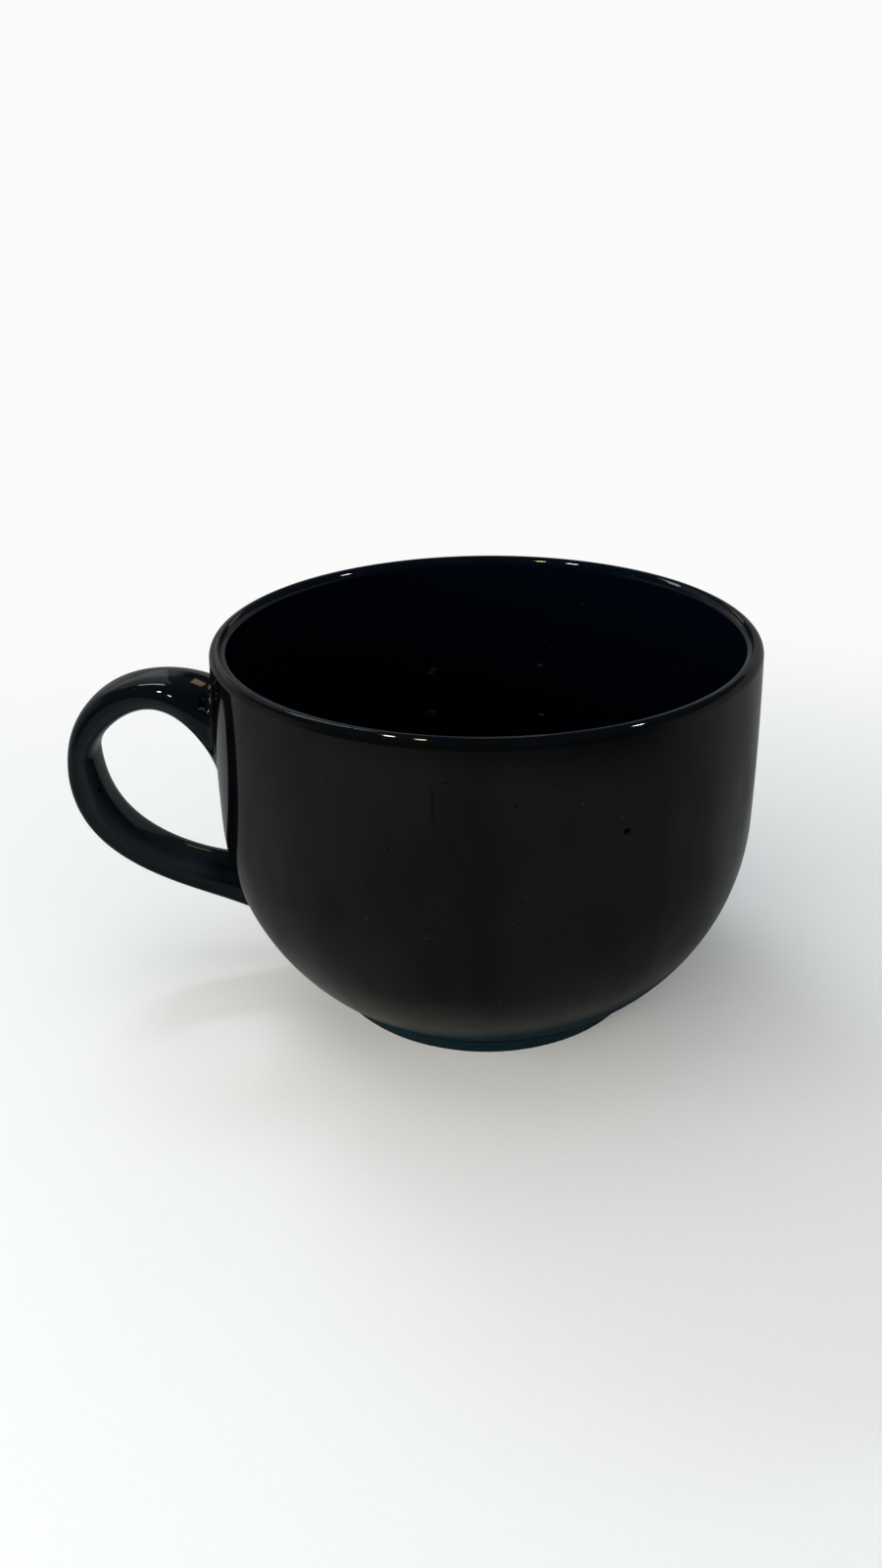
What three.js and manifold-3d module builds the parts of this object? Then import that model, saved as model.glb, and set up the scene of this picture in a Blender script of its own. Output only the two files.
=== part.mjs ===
// A large glazed ceramic cup with an ear handle. Millimetres, +Z up.
//
// The bowl is a turned shell, the foot is a turned ring, and the handle is a strap bent into an ear.
// Each is formed by itself and luted to the bowl with a thin layer of slip before the glaze is fired.
// The handle runs along -X. The origin lies on the table, under the middle of the whole outline.

import * as THREE from 'three';
import { mergeVertices } from 'three/addons/utils/BufferGeometryUtils.js';
import Module from 'manifold-3d';

// Bowl
const CUP_HEIGHT = 88; // table to the top of the lip
const RIM_DIAMETER = 122; // outside, just under the lip
const BELLY_DIAMETER = 124; // outside, where the wall is widest
const BELLY_HEIGHT = 47.4; // table to the widest place
const BASE_DIAMETER = 84.4; // flat turned under the bowl, where the foot is luted on
const LIP_THICKNESS = 4.1; // the lip is a full round of this width
const WALL_THICKNESS = 4.6; // at the belly
const FLOOR_THICKNESS = 6.4;
const FLOOR_CORNER_RADIUS = 14; // inside, where the wall runs into the floor

// Foot ring
const FOOT_HEIGHT = 5.1;
const FOOT_INSET = 0.4; // the ring's top stands this far in from the edge of the bowl's flat
const FOOT_TAPER = 2.6; // the ring's outer face draws in this much on its way down
const FOOT_TOP_WIDTH = 7.2;
const FOOT_FACE_WIDTH = 4.6; // across the underside, rounded edges included
const FOOT_EDGE_RADIUS = 1;

// Handle
const HANDLE_DROP = 14.7; // rim to the top of the upper root
const HANDLE_RISE = 8.9; // the bowl's flat base to the bottom of the lower root
const HANDLE_STAND_OUT = 37.3; // belly to the outermost point of the ear
const HANDLE_THICKNESS = 7; // at the outermost point
const HANDLE_WIDTH = 13.2; // at the outermost point
const UPPER_FLARE = 10; // extra width where the upper root meets the wall
const UPPER_FLARE_LENGTH = 15.5; // run along the handle over which that flare fades
const LOWER_FLARE = 3; // extra width where the lower root meets the wall
const LOWER_FLARE_LENGTH = 9;
const CROWN = 3.75; // back line down to the widest place of the section, where the strap is thick enough
const CROWN_FLARE = 1.3; // the widest place sinks this much more at the upper root
const SECTION_POWER = 2.6; // 2 is an ellipse, more is squarer
const UPPER_ROOT_DEPTH = 17.7; // height of the upper root on the wall
const LOWER_ROOT_DEPTH = 13.2; // height of the lower root on the wall

// The handle's back line, as it leaves the wall, passes the outermost point and comes home
const BACK_TOP_ANGLE = 29.5; // degrees above level
const BACK_TOP_RUN = 20.9;
const BACK_CREST_DROP = 21.1; // top of the upper root to the outermost point
const BACK_SHOULDER = 21.3; // roundness above the outermost point
const BACK_HIP = 26.3; // roundness below it
const BACK_TAIL_ANGLE = 22.4;
const BACK_TAIL_RUN = 19.6;

// The handle's finger line
const FINGER_TOP_ANGLE = 71.4;
const FINGER_TOP_RUN = 28.6;
const FINGER_CREST_DROP = 15.7;
const FINGER_SHOULDER = 6.3;
const FINGER_HIP = 19.5;
const FINGER_TAIL_ANGLE = 8;
const FINGER_TAIL_RUN = 20.6;

// Luting slip
const SLIP_THICKNESS = 0.8; // between the wall and each end of the handle
const SLIP_BEAD = 0.8; // how far the slip squeezes out round each end of the handle
const FOOT_SLIP_THICKNESS = 0.6;
const FOOT_GROOVE = 0.5; // the foot's slip stops this far inside the ring's edges
const FIT_GAP = 0.3; // clearance between curved faces that meet

// Fineness of the curved faces
const ROUND_STEPS = 72;
const LOWER_WALL_STEPS = 12;
const UPPER_WALL_STEPS = 5;
const LIP_STEPS = 8;
const CORNER_STEPS = 5;
const EDGE_STEPS = 3;
const ARM_STEPS = 20; // along each half of the handle
const SECTION_STEPS = 24; // round the handle
const MERGE_DISTANCE = 1e-5;

// Sizes that follow from the ones above
const RIM_RADIUS = RIM_DIAMETER / 2;
const BELLY_RADIUS = BELLY_DIAMETER / 2;
const BASE_RADIUS = BASE_DIAMETER / 2;
const LIP_RADIUS = LIP_THICKNESS / 2;
const LIP_HEIGHT = CUP_HEIGHT - LIP_RADIUS;
const BASE_HEIGHT = FOOT_HEIGHT + FOOT_SLIP_THICKNESS;
const FLOOR_HEIGHT = BASE_HEIGHT + FLOOR_THICKNESS;
const HANDLE_REACH = BELLY_RADIUS + HANDLE_STAND_OUT;
const HANDLE_TOP = CUP_HEIGHT - HANDLE_DROP;
const HANDLE_BOTTOM = BASE_HEIGHT + HANDLE_RISE;

// The lower wall is one arc, upright at the belly and ending at the edge of the base.
const TUCK = BELLY_RADIUS - BASE_RADIUS;
const LOWER_WALL_HEIGHT = BELLY_HEIGHT - BASE_HEIGHT;
const LOWER_WALL_RADIUS = (TUCK ** 2 + LOWER_WALL_HEIGHT ** 2) / (2 * TUCK);
const LOWER_WALL_CENTER = BELLY_RADIUS - LOWER_WALL_RADIUS;

const wasm = await Module();
wasm.setup();

const degrees = THREE.MathUtils.degToRad;
const point = (radius, height) => new THREE.Vector2(radius, height);

/** Points along a circular arc in the profile plane. */
function arcPoints(radius, height, arcRadius, from, to, steps) {
  const clockwise = to < from;
  const arc = new THREE.EllipseCurve(radius, height, arcRadius, arcRadius, from, to, clockwise);
  return arc.getPoints(steps);
}

/** Points from the belly up to the lip, upright at the belly. */
function upperWall(bellyRadius, lipRadius) {
  const middle = (BELLY_HEIGHT + LIP_HEIGHT) / 2;
  const curve = new THREE.QuadraticBezierCurve(
    point(bellyRadius, BELLY_HEIGHT),
    point(bellyRadius, middle),
    point(lipRadius, LIP_HEIGHT),
  );
  return curve.getPoints(UPPER_WALL_STEPS);
}

/** The bowl's outside from the base up to the lip, moved out by an offset. */
function outerWall(offset) {
  const radius = LOWER_WALL_RADIUS + offset;
  const start = -Math.asin(LOWER_WALL_HEIGHT / radius);
  const lower = arcPoints(LOWER_WALL_CENTER, BELLY_HEIGHT, radius, start, 0, LOWER_WALL_STEPS);
  const upper = upperWall(BELLY_RADIUS + offset, RIM_RADIUS + offset);
  return [...lower, ...upper.slice(1)];
}

/** The bowl's inside from the lip down to the axis. */
function innerWall() {
  const upper = upperWall(BELLY_RADIUS - WALL_THICKNESS, RIM_RADIUS - LIP_THICKNESS).reverse();
  const wallRadius = LOWER_WALL_RADIUS - WALL_THICKNESS;
  const cornerHeight = FLOOR_HEIGHT + FLOOR_CORNER_RADIUS;
  const cornerAngle = -Math.asin((BELLY_HEIGHT - cornerHeight) / (wallRadius - FLOOR_CORNER_RADIUS));
  const cornerCenter = LOWER_WALL_CENTER + (wallRadius - FLOOR_CORNER_RADIUS) * Math.cos(cornerAngle);
  const lower = arcPoints(LOWER_WALL_CENTER, BELLY_HEIGHT, wallRadius, 0, cornerAngle, LOWER_WALL_STEPS);
  const corner = arcPoints(
    cornerCenter, cornerHeight, FLOOR_CORNER_RADIUS, cornerAngle, -Math.PI / 2, CORNER_STEPS,
  );
  return [...upper, ...lower.slice(1), ...corner.slice(1), point(0, FLOOR_HEIGHT)];
}

/** The outside radius of the bowl at a height. */
function wallRadiusAt(height) {
  if (height < BELLY_HEIGHT) {
    return LOWER_WALL_CENTER + Math.sqrt(LOWER_WALL_RADIUS ** 2 - (BELLY_HEIGHT - height) ** 2);
  }
  const share = (height - BELLY_HEIGHT) / (LIP_HEIGHT - BELLY_HEIGHT);
  return BELLY_RADIUS + (RIM_RADIUS - BELLY_RADIUS) * share ** 2;
}

/** A solid of revolution about +Z from a profile that runs up its outside. */
function turned(profile) {
  return new THREE.LatheGeometry(profile, ROUND_STEPS).rotateX(Math.PI / 2);
}

/** A closed mesh as a solid that can be joined and cut. */
function toSolid(geometry) {
  const bare = geometry.clone();
  bare.deleteAttribute('normal');
  bare.deleteAttribute('uv');
  const merged = mergeVertices(bare, MERGE_DISTANCE);
  const corners = merged.index.array;
  const kept = [];
  for (let i = 0; i < corners.length; i += 3) {
    const [a, b, c] = corners.slice(i, i + 3);
    if (a !== b && b !== c && c !== a) {
      kept.push(a, b, c);
    }
  }
  return new wasm.Manifold(new wasm.Mesh({
    numProp: 3,
    vertProperties: new Float32Array(merged.attributes.position.array),
    triVerts: new Uint32Array(kept),
  }));
}

/** A solid back as a mesh's geometry. */
function toGeometry(solid) {
  const mesh = solid.getMesh();
  const geometry = new THREE.BufferGeometry();
  geometry.setAttribute('position', new THREE.BufferAttribute(mesh.vertProperties, 3));
  geometry.setIndex(new THREE.BufferAttribute(mesh.triVerts, 1));
  geometry.computeVertexNormals();
  return geometry;
}

/** The bowl: a flat turned base, one arc up to the belly, a nearly upright wall and a round lip. */
function bowl() {
  const lip = arcPoints(RIM_RADIUS - LIP_RADIUS, LIP_HEIGHT, LIP_RADIUS, 0, Math.PI, LIP_STEPS);
  const profile = [
    point(0, BASE_HEIGHT),
    ...outerWall(0),
    ...lip.slice(1, -1),
    ...innerWall(),
  ];
  return toSolid(turned(profile));
}

const footTopOuter = BASE_RADIUS - FOOT_INSET;
const footTopInner = footTopOuter - FOOT_TOP_WIDTH;
const footFaceOuter = footTopOuter - FOOT_TAPER;
const footFaceInner = footFaceOuter - FOOT_FACE_WIDTH;

/** The foot ring: flat on top, drawn in towards the table, with a rounded flat to stand on. */
function footRing() {
  const r = FOOT_EDGE_RADIUS;
  const down = -Math.PI / 2;
  const innerEdge = arcPoints(footFaceInner + r, r, r, -Math.PI, down, EDGE_STEPS);
  const outerEdge = arcPoints(footFaceOuter - r, r, r, down, 0, EDGE_STEPS);
  const profile = [
    ...innerEdge,
    ...outerEdge,
    point(footTopOuter, FOOT_HEIGHT),
    point(footTopInner, FOOT_HEIGHT),
    innerEdge[0],
  ];
  return toSolid(turned(profile));
}

/** The slip between the foot ring and the bowl's flat base. */
function footSlip() {
  const inner = footTopInner + FOOT_GROOVE;
  const outer = footTopOuter - FOOT_GROOVE;
  const profile = [
    point(inner, FOOT_HEIGHT),
    point(outer, FOOT_HEIGHT),
    point(outer, BASE_HEIGHT),
    point(inner, BASE_HEIGHT),
    point(inner, FOOT_HEIGHT),
  ];
  return toSolid(turned(profile));
}

/** A point a given run away from another, at an angle above level. */
function away(from, angle, run) {
  return point(from.x + run * Math.cos(degrees(angle)), from.y + run * Math.sin(degrees(angle)));
}

/** One edge line of the handle, in the plane of the ear, from the upper root to the lower root. */
function edgeLine({ top, bottom, crest, topAngle, topRun, shoulder, hip, tailAngle, tailRun }) {
  const start = point(wallRadiusAt(top), top);
  const end = point(wallRadiusAt(bottom), bottom);
  const upper = new THREE.CubicBezierCurve(
    start, away(start, topAngle, topRun), point(crest.x, crest.y + shoulder), crest,
  );
  const lower = new THREE.CubicBezierCurve(
    crest, point(crest.x, crest.y - hip), away(end, tailAngle, tailRun), end,
  );
  const line = [...upper.getPoints(ARM_STEPS), ...lower.getPoints(ARM_STEPS).slice(1)];
  const bite = WALL_THICKNESS / 2;
  return [away(start, topAngle, -bite), ...line, away(end, tailAngle, -bite)];
}

const backLine = edgeLine({
  top: HANDLE_TOP,
  bottom: HANDLE_BOTTOM,
  crest: point(HANDLE_REACH, HANDLE_TOP - BACK_CREST_DROP),
  topAngle: BACK_TOP_ANGLE,
  topRun: BACK_TOP_RUN,
  shoulder: BACK_SHOULDER,
  hip: BACK_HIP,
  tailAngle: BACK_TAIL_ANGLE,
  tailRun: BACK_TAIL_RUN,
});

const fingerLine = edgeLine({
  top: HANDLE_TOP - UPPER_ROOT_DEPTH,
  bottom: HANDLE_BOTTOM + LOWER_ROOT_DEPTH,
  crest: point(HANDLE_REACH - HANDLE_THICKNESS, HANDLE_TOP - FINGER_CREST_DROP),
  topAngle: FINGER_TOP_ANGLE,
  topRun: FINGER_TOP_RUN,
  shoulder: FINGER_SHOULDER,
  hip: FINGER_HIP,
  tailAngle: FINGER_TAIL_ANGLE,
  tailRun: FINGER_TAIL_RUN,
});

/** How strong each root's flare is at each station: 1 at the wall, fading along the handle. */
function flares() {
  const middle = backLine.map((p, i) => p.clone().lerp(fingerLine[i], 0.5));
  const run = [0];
  for (let i = 1; i < middle.length; i += 1) {
    run.push(run[i - 1] + middle[i].distanceTo(middle[i - 1]));
  }
  const fade = (distance, length) => Math.exp(-((Math.max(distance, 0) / length) ** 2));
  return run.map((s) => ({
    upper: fade(s - run[1], UPPER_FLARE_LENGTH),
    lower: fade(run.at(-2) - s, LOWER_FLARE_LENGTH),
  }));
}

/** The rounded section of the strap on the unit square: across its thickness and its width. */
function unitSection() {
  const bend = (value) => Math.sign(value) * Math.abs(value) ** (2 / SECTION_POWER);
  return Array.from({ length: SECTION_STEPS }, (_, i) => {
    const angle = (2 * Math.PI * i) / SECTION_STEPS;
    return { across: bend(Math.cos(angle)), along: bend(Math.sin(angle)) };
  });
}

/** A loft of the strap's section through a run of stations, grown all round, closed at both ends. */
function strap(first, last, grow) {
  const flare = flares();
  const section = unitSection();
  const positions = [];
  const triangles = [];
  const stations = last - first + 1;
  for (let i = first; i <= last; i += 1) {
    const { upper, lower } = flare[i];
    const halfWidth = (HANDLE_WIDTH + UPPER_FLARE * upper + LOWER_FLARE * lower) / 2 + grow;
    const outward = backLine[i].clone().sub(fingerLine[i]);
    const depth = outward.length();
    outward.normalize();
    const crown = Math.min(CROWN + CROWN_FLARE * upper, depth / 2);
    const widest = backLine[i].clone().addScaledVector(outward, -crown);
    for (const { across, along } of section) {
      const half = (across > 0 ? crown : depth - crown) + grow;
      const place = widest.clone().addScaledVector(outward, half * across);
      positions.push(-place.x, halfWidth * along, place.y);
    }
  }
  for (let i = 0; i < stations - 1; i += 1) {
    for (let j = 0; j < SECTION_STEPS; j += 1) {
      const a = i * SECTION_STEPS + j;
      const b = i * SECTION_STEPS + ((j + 1) % SECTION_STEPS);
      triangles.push(a, b, a + SECTION_STEPS, b, b + SECTION_STEPS, a + SECTION_STEPS);
    }
  }
  const lastRing = (stations - 1) * SECTION_STEPS;
  for (let j = 1; j < SECTION_STEPS - 1; j += 1) {
    triangles.push(0, j + 1, j);
    triangles.push(lastRing, lastRing + j, lastRing + j + 1);
  }
  const geometry = new THREE.BufferGeometry();
  geometry.setAttribute('position', new THREE.Float32BufferAttribute(positions, 3));
  geometry.setIndex(triangles);
  return toSolid(geometry);
}

const lastStation = backLine.length - 1;
const crestStation = lastStation / 2;

/** The handle: the whole strap, with both ends coped to the wall, clear of the slip. */
function handle() {
  const cope = outerWall(FIT_GAP + SLIP_THICKNESS + FIT_GAP);
  const core = [point(0, cope[0].y), ...cope, point(cope.at(-1).x, CUP_HEIGHT), point(0, CUP_HEIGHT)];
  return strap(0, lastStation, 0).subtract(toSolid(turned(core)));
}

/** The slip under one root: a pad that follows the wall, a bead wider than the strap. */
function handleSlip(first, last) {
  const outside = outerWall(FIT_GAP + SLIP_THICKNESS);
  const inside = outerWall(FIT_GAP).reverse();
  const layer = toSolid(turned([...outside, ...inside, outside[0]]));
  return strap(first, last, SLIP_BEAD).intersect(layer);
}

/** A glazed or plain surface of fired clay. */
function fired(color, roughness) {
  return new THREE.MeshStandardMaterial({ color, roughness, metalness: 0 });
}

const blackGlaze = () => fired('#0b0c0f', 0.08);
const footGlaze = () => fired('#0d1519', 0.14);
const slipGlaze = () => fired('#08090b', 0.18);

/** A named mesh from a solid. */
function piece(name, solid, material) {
  const mesh = new THREE.Mesh(toGeometry(solid), material);
  mesh.name = name;
  return mesh;
}

const cup = new THREE.Group();
cup.name = 'cup';
cup.position.x = (HANDLE_REACH - Math.max(BELLY_RADIUS, RIM_RADIUS)) / 2;
cup.add(
  piece('bowl', bowl(), blackGlaze()),
  piece('foot_slip', footSlip(), slipGlaze()),
  piece('foot_ring', footRing(), footGlaze()),
  piece('upper_handle_slip', handleSlip(0, crestStation), slipGlaze()),
  piece('lower_handle_slip', handleSlip(crestStation, lastStation), slipGlaze()),
  piece('handle', handle(), blackGlaze()),
);

export default cup;
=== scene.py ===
"""A large black glazed cup with an ear handle, dressed over its solids.

Lengths in the classes are millimetres and angles are degrees, about the bowl's upright axis. The
handle runs along -X. Points are turned into metres of the shared frame when a mesh is made.
"""

import logging
import math
from dataclasses import dataclass, field
from enum import Enum

import bpy
import numpy as np
from mathutils import Matrix, Vector


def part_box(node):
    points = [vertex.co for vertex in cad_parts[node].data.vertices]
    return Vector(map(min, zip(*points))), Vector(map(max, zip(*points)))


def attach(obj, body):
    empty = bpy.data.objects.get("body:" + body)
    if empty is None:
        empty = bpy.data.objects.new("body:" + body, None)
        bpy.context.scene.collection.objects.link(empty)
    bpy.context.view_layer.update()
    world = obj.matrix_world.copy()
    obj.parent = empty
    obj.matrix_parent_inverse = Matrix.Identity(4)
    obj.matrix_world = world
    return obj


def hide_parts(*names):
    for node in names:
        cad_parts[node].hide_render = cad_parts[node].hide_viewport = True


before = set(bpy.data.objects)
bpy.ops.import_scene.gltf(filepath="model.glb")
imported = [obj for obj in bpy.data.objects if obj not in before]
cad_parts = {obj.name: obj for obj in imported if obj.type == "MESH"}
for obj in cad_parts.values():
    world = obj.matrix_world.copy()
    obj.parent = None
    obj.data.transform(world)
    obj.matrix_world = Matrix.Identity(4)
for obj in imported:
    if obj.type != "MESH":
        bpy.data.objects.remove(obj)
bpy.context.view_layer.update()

MM = 0.001
BODY = "root"

Span = tuple[float, float]
Triple = tuple[float, float, float]
Colour = Triple
LOG = logging.getLogger("cup")


class Slot(Enum):
    """The material slots that the record names."""

    BLACK_GLAZE = "black_glaze"
    FOOT_GLAZE = "foot_glaze"
    FIRED_SLIP = "fired_slip"


class Root(Enum):
    """The two places where the handle meets the wall, as ends of its edge lines."""

    UPPER = 0
    LOWER = 2


# Where the crest lies on an edge line, between its two roots.
CREST = 1
# The arm of a cubic curve that follows a quarter circle, as a share of the radius.
ROUND = 0.5523
# A radius below this lies on the axis.
ON_AXIS = 1e-9
# A cubic curve leaves its end at three times its first arm.
CUBIC = 3
# The pitch of a wave texture of scale 1.
WAVE_PITCH = 0.314
# The soft edges of scattered spots, of single blemishes and of a hollow's facing.
SPOT_CORE = 0.4
MARK_EDGE = (1.1, 0.6)
FACING_EDGE = (-0.2, 0.7)


class Value:
    """A shader socket that can stand in a Python expression."""

    def __init__(self, nodes: "Nodes", socket: bpy.types.NodeSocket) -> None:
        """Keeps the socket and the tree that it belongs to."""
        self.nodes = nodes
        self.socket = socket

    def other(self, output: str) -> "Value":
        """Gives another output of the same node."""
        return Value(self.nodes, self.socket.node.outputs[output])

    def _math(self, operation: str, first: "Operand", second: "Operand") -> "Value":
        """Adds one Math node for two operands."""
        return self.nodes.node("ShaderNodeMath", {"operation": operation}, {0: first, 1: second})

    def __add__(self, other: "Operand") -> "Value":
        """Adds."""
        return self._math("ADD", self, other)

    def __radd__(self, other: "Operand") -> "Value":
        """Adds, with the socket on the right."""
        return self._math("ADD", other, self)

    def __sub__(self, other: "Operand") -> "Value":
        """Subtracts."""
        return self._math("SUBTRACT", self, other)

    def __rsub__(self, other: "Operand") -> "Value":
        """Subtracts, with the socket on the right."""
        return self._math("SUBTRACT", other, self)

    def __mul__(self, other: "Operand") -> "Value":
        """Multiplies."""
        return self._math("MULTIPLY", self, other)

    def __rmul__(self, other: "Operand") -> "Value":
        """Multiplies, with the socket on the right."""
        return self._math("MULTIPLY", other, self)

    def rise(self, low: float, high: float) -> "Value":
        """Runs smoothly from 0 at one value to 1 at another.

        Args:
            low: The value that gives 0.
            high: The value that gives 1. It may be the smaller of the two.

        Returns:
            The smoothed share.
        """
        if low > high:
            return 1 - self.rise(high, low)
        settings = {"interpolation_type": "SMOOTHSTEP", "clamp": True}
        return self.nodes.node(
            "ShaderNodeMapRange", settings, {"Value": self, "From Min": low, "From Max": high}
        )


Operand = Value | float


class Nodes:
    """The node tree of one material or of the world."""

    def __init__(self, tree: bpy.types.NodeTree) -> None:
        """Starts from an empty tree."""
        self.tree = tree
        tree.nodes.clear()

    @classmethod
    def of_material(cls, name: str) -> tuple["Nodes", bpy.types.Material]:
        """Makes a material with an empty tree.

        Args:
            name: The material's name.

        Returns:
            The tree and the material.
        """
        material = bpy.data.materials.new(name)
        material.use_nodes = True
        return cls(material.node_tree), material

    def node(self, kind: str, settings: dict | None = None, inputs: dict | None = None,
             output: int | str = 0) -> Value:
        """Adds one node.

        Args:
            kind: The node's type.
            settings: Properties of the node, set first.
            inputs: Values or links for its sockets, by name or number.
            output: The output that is wanted.

        Returns:
            That output.
        """
        made = self.tree.nodes.new(kind)
        for name, value in (settings or {}).items():
            setattr(made, name, value)
        for key, value in (inputs or {}).items():
            socket = made.inputs[key]
            if isinstance(value, Value):
                self.tree.links.new(value.socket, socket)
            elif socket.type == "RGBA":
                socket.default_value = (*value, 1.0)
            else:
                socket.default_value = value
        return Value(self, made.outputs[output])

    def millimetres(self) -> Value:
        """Gives the place on the piece in millimetres."""
        place = self.node("ShaderNodeTexCoord", output="Object")
        return self.stretched(place, (1 / MM, 1 / MM, 1 / MM))

    def stretched(self, vector: Value, factors: Triple) -> Value:
        """Scales a vector along each axis."""
        return self.vector("MULTIPLY", vector, factors)

    def height(self, place: Value) -> Value:
        """Gives the height in a place vector."""
        return self.node("ShaderNodeSeparateXYZ", None, {0: place}, "Z")

    def noise(self, place: Value, size: float, detail: float = 2.0) -> Value:
        """Soft noise of about a given grain.

        Args:
            place: Where it is read, in millimetres.
            size: The grain in millimetres.
            detail: The number of finer layers.

        Returns:
            A value about 0.5.
        """
        return self.node(
            "ShaderNodeTexNoise", None, {"Vector": place, "Scale": 1 / size, "Detail": detail}
        )

    def spots(self, place: Value, spacing: float, radius: float) -> Value:
        """Scattered round spots with soft edges.

        Args:
            place: Where they are read, in millimetres.
            spacing: The mean distance between their centres, which lie in space.
            radius: The spots' radius.

        Returns:
            1 in a spot and 0 outside.
        """
        cells = self.node("ShaderNodeTexVoronoi", None, {"Vector": place, "Scale": 1 / spacing})
        return cells.rise(radius / spacing, SPOT_CORE * radius / spacing)

    def vector(self, operation: str, first: Value, second: "Value | Triple" = (0.0, 0.0, 0.0),
               output: str = "Vector") -> Value:
        """Adds one Vector Math node.

        Args:
            operation: What it does.
            first: Its first vector.
            second: Its second vector, where it takes one.
            output: Vector, or Value for a length or a dot product.

        Returns:
            That output.
        """
        return self.node("ShaderNodeVectorMath", {"operation": operation}, {0: first, 1: second}, output)

    def facing(self, place: Value, hollow: "Hollow", axis: float) -> Value:
        """How far a surface faces into a hollow.

        Args:
            place: Where it is read, in millimetres.
            hollow: The hollow.
            axis: Where the bowl's axis stands along X.

        Returns:
            1 where it faces in, 0 where it faces out, and softly between the two.
        """
        x, y, z = hollow.centre
        normal = self.node("ShaderNodeNewGeometry", output="Normal")
        spoke = self.stretched(self.vector("SUBTRACT", place, (x + axis, y, z)), hollow.spokes)
        out = self.vector("DOT_PRODUCT", normal, self.vector("NORMALIZE", spoke), "Value")
        inward = hollow.open_above * self.height(normal) - out
        return inward.rise(*FACING_EDGE) * self.reach(place, axis).rise(*hollow.comes_in)

    def reach(self, place: Value, axis: float = 0.0) -> Value:
        """The level distance from an upright axis."""
        level = self.stretched(self.vector("SUBTRACT", place, (axis, 0.0, 0.0)), (1.0, 1.0, 0.0))
        return self.vector("LENGTH", level, output="Value")

    def mark(self, place: Value, blemish: "Blemish", axis: float) -> Value:
        """A single soft-edged blemish.

        Args:
            place: Where it is read, in millimetres.
            blemish: Its place and size.
            axis: Where the bowl's axis stands along X.

        Returns:
            The blemish's strength inside it and 0 outside.
        """
        x, y, z = blemish.centre
        off = self.vector("SUBTRACT", place, (x + axis, y, z))
        scaled = self.stretched(off, tuple(1 / half for half in blemish.half_size))
        reach = self.vector("LENGTH", scaled, output="Value")
        return reach.rise(*MARK_EDGE) * blemish.strength

    def blend(self, first: "Value | Colour", second: "Value | Colour", share: Operand) -> Value:
        """Mixes two colours.

        Args:
            first: The colour at share 0.
            second: The colour at share 1.
            share: How much of the second.

        Returns:
            The mixed colour.
        """
        return self.node("ShaderNodeMix", {"data_type": "RGBA"}, {0: share, 6: first, 7: second}, 2)

    def bump(self, relief: Value) -> Value:
        """Turns a relief in millimetres into a normal."""
        return self.node("ShaderNodeBump", None, {"Distance": MM, "Height": relief})

    def finish(self, shader: Value, output: str = "ShaderNodeOutputMaterial") -> None:
        """Ends the tree with a shader."""
        made = self.tree.nodes.new(output)
        self.tree.links.new(shader.socket, made.inputs["Surface"])


@dataclass(frozen=True)
class Gloss:
    """The clear glassy skin of a glaze, over its colour."""

    weight: float = 0.29
    roughness: float = 0.04
    index: float = 1.35


@dataclass(frozen=True)
class Hollow:
    """A hollow that the glaze colours differently, by its middle and the axes that its spokes run along.

    The colour comes in between two distances from the bowl's axis. Inside the bowl it is the glaze's own
    bluer tint; on the ear's finger side it is a painted light.
    """

    centre: Triple
    spokes: Triple
    open_above: float = 0.0
    comes_in: Span = (-1.0, 0.0)


INSIDE = Hollow((0.0, 0.0, 0.0), (1.0, 1.0, 0.0), 1.0)
# Painted light: faces of the ear turned to the finger loop get a paler base, standing in for light
# bounced onto them.
FINGER_LOOP_PAINTED_LIGHT = Hollow((-73.0, 0.0, 50.0), (1.0, 0.0, 1.0), comes_in=(64.0, 73.0))


@dataclass(frozen=True)
class Blemish:
    """A dark pinhole or a short scar in the glaze, about the bowl's axis."""

    centre: Triple
    half_size: Triple
    strength: float = 1.0


PINHOLE = Blemish((27.6, -55.2, 66.9), (0.95, 2.0, 0.8))
SCAR = Blemish((-8.8, -60.8, 75.5), (0.26, 2.0, 4.4), 0.5)
SMALL_SCAR = Blemish((7.9, -61.4, 54.9), (0.22, 2.0, 0.8), 0.6)
HANDLE_PINHOLE = Blemish((-92.0, -4.0, 49.0), (2.0, 0.7, 0.8))


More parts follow.
